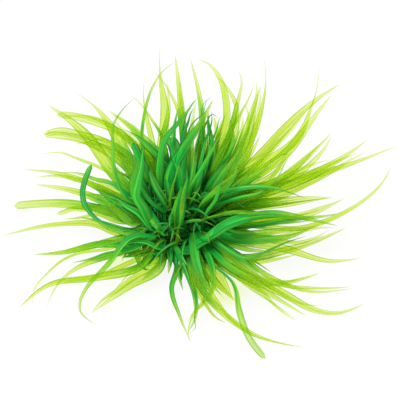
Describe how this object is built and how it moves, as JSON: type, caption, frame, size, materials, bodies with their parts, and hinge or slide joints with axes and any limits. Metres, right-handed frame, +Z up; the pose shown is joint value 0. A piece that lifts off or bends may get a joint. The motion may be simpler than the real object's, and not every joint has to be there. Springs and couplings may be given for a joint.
{
  "type": "tissue culture blyxa plant",
  "caption": "Sprawling clump of a narrow-leaved aquarium plant from tissue culture, with short upright shoots and long pointed bright green leaves that arch and lie down on the floor.",
  "frame": {"origin": "centre of the flat cut foot of the main shoot, on the floor", "axes": "+Z up from the floor, +X to the right and -Y towards the viewer as the clump is seen in the picture"},
  "size_m": [0.1185, 0.1012, 0.0421],
  "materials": {
    "leaf": "satin",
    "shoot": "satin"
  },
  "bodies": {
    "root": {"back_left_leaf_1": "leaf", "back_left_leaf_2": "leaf", "back_left_leaf_3": "leaf", "back_left_leaf_4": "leaf", "back_left_leaf_5": "leaf", "back_left_shoot": "shoot", "back_right_leaf_1": "leaf", "back_right_leaf_2": "leaf", "back_right_leaf_3": "leaf", "back_right_leaf_4": "leaf", "back_right_leaf_5": "leaf", "back_right_leaf_6": "leaf", "back_right_shoot": "shoot", "front_left_leaf_1": "leaf", "front_left_leaf_10": "leaf", "front_left_leaf_2": "leaf", "front_left_leaf_3": "leaf", "front_left_leaf_4": "leaf", "front_left_leaf_5": "leaf", "front_left_leaf_6": "leaf", "front_left_leaf_7": "leaf", "front_left_leaf_8": "leaf", "front_left_leaf_9": "leaf", "front_left_shoot": "shoot", "front_right_leaf_1": "leaf", "front_right_leaf_10": "leaf", "front_right_leaf_2": "leaf", "front_right_leaf_3": "leaf", "front_right_leaf_4": "leaf", "front_right_leaf_5": "leaf", "front_right_leaf_6": "leaf", "front_right_leaf_7": "leaf", "front_right_leaf_8": "leaf", "front_right_leaf_9": "leaf", "front_right_shoot": "shoot", "left_leaf_1": "leaf", "left_leaf_2": "leaf", "left_leaf_3": "leaf", "left_leaf_4": "leaf", "left_leaf_5": "leaf", "left_leaf_6": "leaf", "left_leaf_7": "leaf", "left_leaf_8": "leaf", "left_shoot": "shoot", "main_leaf_1": "leaf", "main_leaf_2": "leaf", "main_leaf_3": "leaf", "main_leaf_4": "leaf", "main_shoot": "shoot", "right_leaf_1": "leaf", "right_leaf_2": "leaf", "right_leaf_3": "leaf", "right_leaf_4": "leaf", "right_leaf_5": "leaf", "right_leaf_6": "leaf", "right_leaf_7": "leaf", "right_leaf_8": "leaf", "right_leaf_9": "leaf", "right_shoot": "shoot"}
  },
  "joints": []
}
